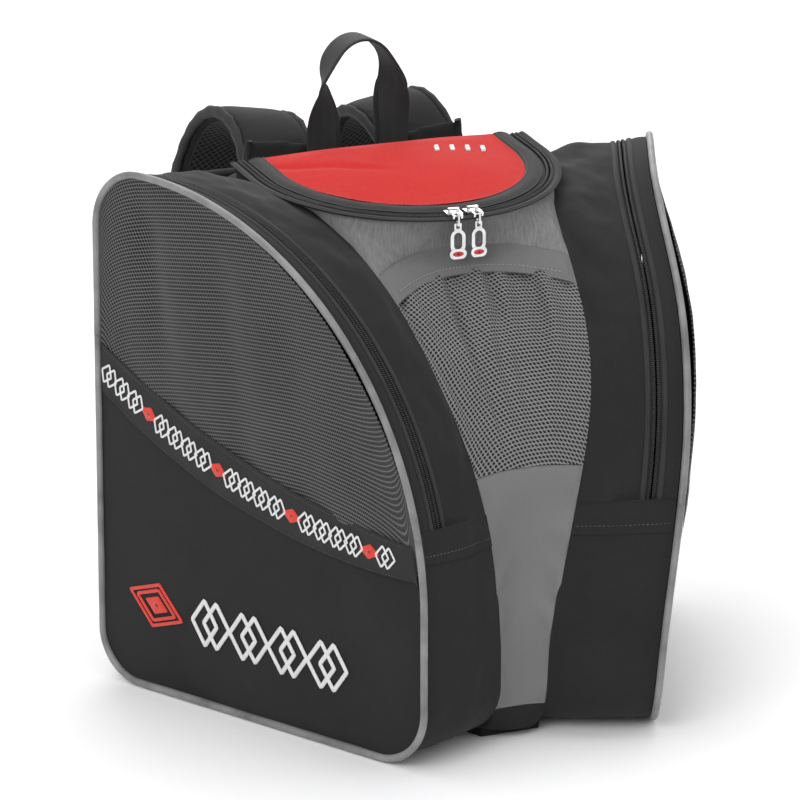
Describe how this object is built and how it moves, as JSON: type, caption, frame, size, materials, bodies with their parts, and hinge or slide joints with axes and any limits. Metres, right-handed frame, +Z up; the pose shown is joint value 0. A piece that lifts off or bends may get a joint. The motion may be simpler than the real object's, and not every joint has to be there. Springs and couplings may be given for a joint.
{
  "type": "ski boot bag",
  "caption": "Backpack for ski boots, with splayed boot pockets that have zipped mesh doors, a middle compartment with a zipped lid, a mesh pocket, a carrying handle and shoulder straps.",
  "frame": {"origin": "middle of the underside of the base", "axes": "+Z up, -Y to the front of the bag, +X to the right seen from the front"},
  "size_m": [0.4904, 0.5133, 0.497],
  "materials": {
    "fabric_black": "plain woven polyester",
    "mesh_side": "open black mesh with a light grid",
    "woven_band": "woven band with a repeated motif",
    "piping_grey": "round reflective piping",
    "zipper_black": "coil zipper",
    "fabric_grey": "smooth woven polyester",
    "heather_grey": "melange weave",
    "mesh_grey": "open mesh",
    "fabric_red": "red melange weave",
    "binding_black": "ribbed binding tape",
    "chrome": "polished",
    "webbing_black": "herringbone webbing",
    "spacer_mesh": "spacer mesh over foam",
    "plastic_black": "moulded"
  },
  "bodies": {
    "shell": {"side_panel_left": "fabric_black", "woven_band_left": "woven_band", "lower_piping_left": "piping_grey", "front_gusset_left": "fabric_black", "rear_gusset_left": "fabric_black", "side_zipper_left": "zipper_black", "top_gusset_left": "fabric_black", "divider_left": "fabric_black", "back_pad_left": "spacer_mesh", "collar_left": "fabric_black", "side_panel_right": "fabric_black", "woven_band_right": "woven_band", "lower_piping_right": "piping_grey", "front_gusset_right": "fabric_black", "rear_gusset_right": "fabric_black", "side_zipper_right": "zipper_black", "top_gusset_right": "fabric_black", "divider_right": "fabric_black", "back_pad_right": "spacer_mesh", "collar_right": "fabric_black", "base_panel": "fabric_black", "front_kick_strip": "fabric_black", "lower_front_panel": "fabric_grey", "pocket_backing": "fabric_black", "mesh_pocket": "mesh_grey", "pocket_hem": "fabric_grey", "rear_yoke": "fabric_black", "back_panel": "fabric_black", "body_zipper": "zipper_black", "yoke": "heather_grey", "handle_ends": "webbing_black", "strap_ends": "webbing_black"},
    "door_left": {"side_mesh_left": "mesh_side", "upper_piping_left": "piping_grey", "door_gusset_left": "fabric_black", "door_zipper_left": "zipper_black"},
    "door_right": {"side_mesh_right": "mesh_side", "upper_piping_right": "piping_grey", "door_gusset_right": "fabric_black", "door_zipper_right": "zipper_black"},
    "lid": {"lid_panel": "fabric_red", "lid_binding": "binding_black", "lid_zipper": "zipper_black"},
    "main_slider_left": {"main_slider_left": "chrome"},
    "slider_link_left": {"slider_link_left": "chrome"},
    "main_pull_left": {"main_pull_left": "chrome"},
    "side_slider_left": {"side_slider_left": "chrome"},
    "side_pull_left": {"side_pull_left": "chrome"},
    "main_slider_right": {"main_slider_right": "chrome"},
    "slider_link_right": {"slider_link_right": "chrome"},
    "main_pull_right": {"main_pull_right": "chrome"},
    "side_slider_right": {"side_slider_right": "chrome"},
    "side_pull_right": {"side_pull_right": "chrome"},
    "handle": {"carry_handle": "webbing_black"},
    "strap_left": {"shoulder_strap_left": "spacer_mesh", "ladder_lock_left": "plastic_black", "strap_webbing_left": "webbing_black"},
    "strap_right": {"shoulder_strap_right": "spacer_mesh", "ladder_lock_right": "plastic_black", "strap_webbing_right": "webbing_black"}
  },
  "joints": [
    {"name": "lid_hinge", "type": "hinge", "parent": "shell", "child": "lid", "pos_m": [0, 0.141, 0.41581], "axis": [-1, 0, 0], "range_deg": [0, 105]},
    {"name": "door_hinge_left", "type": "hinge", "parent": "shell", "child": "door_left", "pos_m": [-0.24566, 0.1384, 0.285], "axis": [0.3843, -0.8796, -0.2805], "range_deg": [0, 120]},
    {"name": "main_slider_travel_left", "type": "hinge", "parent": "lid", "child": "main_slider_left", "pos_m": [0, 0.101, 0.4074], "axis": [0, 0.1219, -0.9925], "range_deg": [0, 30]},
    {"name": "link_swing_left", "type": "hinge", "parent": "main_slider_left", "child": "slider_link_left", "pos_m": [-0.00881, -0.02763, 0.39483], "axis": [-0.9977, 0.068, 0], "range_deg": [0, 100]},
    {"name": "pull_swing_left", "type": "hinge", "parent": "slider_link_left", "child": "main_pull_left", "pos_m": [-0.00881, -0.02763, 0.38833], "axis": [-0.9977, 0.068, 0], "range_deg": [-12, 70]},
    {"name": "side_slider_travel_left", "type": "slide", "parent": "shell", "child": "side_slider_left", "axis": [0, 0, 1], "range_m": [0, 0.062]},
    {"name": "side_pull_swing_left", "type": "hinge", "parent": "side_slider_left", "child": "side_pull_left", "pos_m": [-0.22201, 0.15168, 0.2905], "axis": [0.9164, 0.4003, 0], "range_deg": [0, 110]},
    {"name": "strap_swing_left", "type": "hinge", "parent": "shell", "child": "strap_left", "pos_m": [-0.12, 0.186, 0.045], "axis": [0.1593, 0, 0.9872], "range_deg": [-15, 15]},
    {"name": "door_hinge_right", "type": "hinge", "parent": "shell", "child": "door_right", "pos_m": [0.24566, 0.1384, 0.285], "axis": [0.3843, 0.8796, 0.2805], "range_deg": [0, 120]},
    {"name": "main_slider_travel_right", "type": "hinge", "parent": "lid", "child": "main_slider_right", "pos_m": [0, 0.101, 0.4074], "axis": [0, -0.1219, 0.9925], "range_deg": [0, 30]},
    {"name": "link_swing_right", "type": "hinge", "parent": "main_slider_right", "child": "slider_link_right", "pos_m": [0.00881, -0.02763, 0.39483], "axis": [-0.9977, -0.068, 0], "range_deg": [0, 100]},
    {"name": "pull_swing_right", "type": "hinge", "parent": "slider_link_right", "child": "main_pull_right", "pos_m": [0.00881, -0.02763, 0.38833], "axis": [-0.9977, -0.068, 0], "range_deg": [-12, 70]},
    {"name": "side_slider_travel_right", "type": "slide", "parent": "shell", "child": "side_slider_right", "axis": [0, 0, 1], "range_m": [0, 0.062]},
    {"name": "side_pull_swing_right", "type": "hinge", "parent": "side_slider_right", "child": "side_pull_right", "pos_m": [0.22201, 0.15168, 0.2905], "axis": [0.9164, -0.4003, 0], "range_deg": [0, 110]},
    {"name": "strap_swing_right", "type": "hinge", "parent": "shell", "child": "strap_right", "pos_m": [0.12, 0.186, 0.045], "axis": [-0.1593, 0, 0.9872], "range_deg": [-15, 15]},
    {"name": "handle_swing", "type": "hinge", "parent": "shell", "child": "handle", "pos_m": [0, 0.1805, 0.405], "axis": [-1, 0, 0], "range_deg": [-60, 25]}
  ]
}
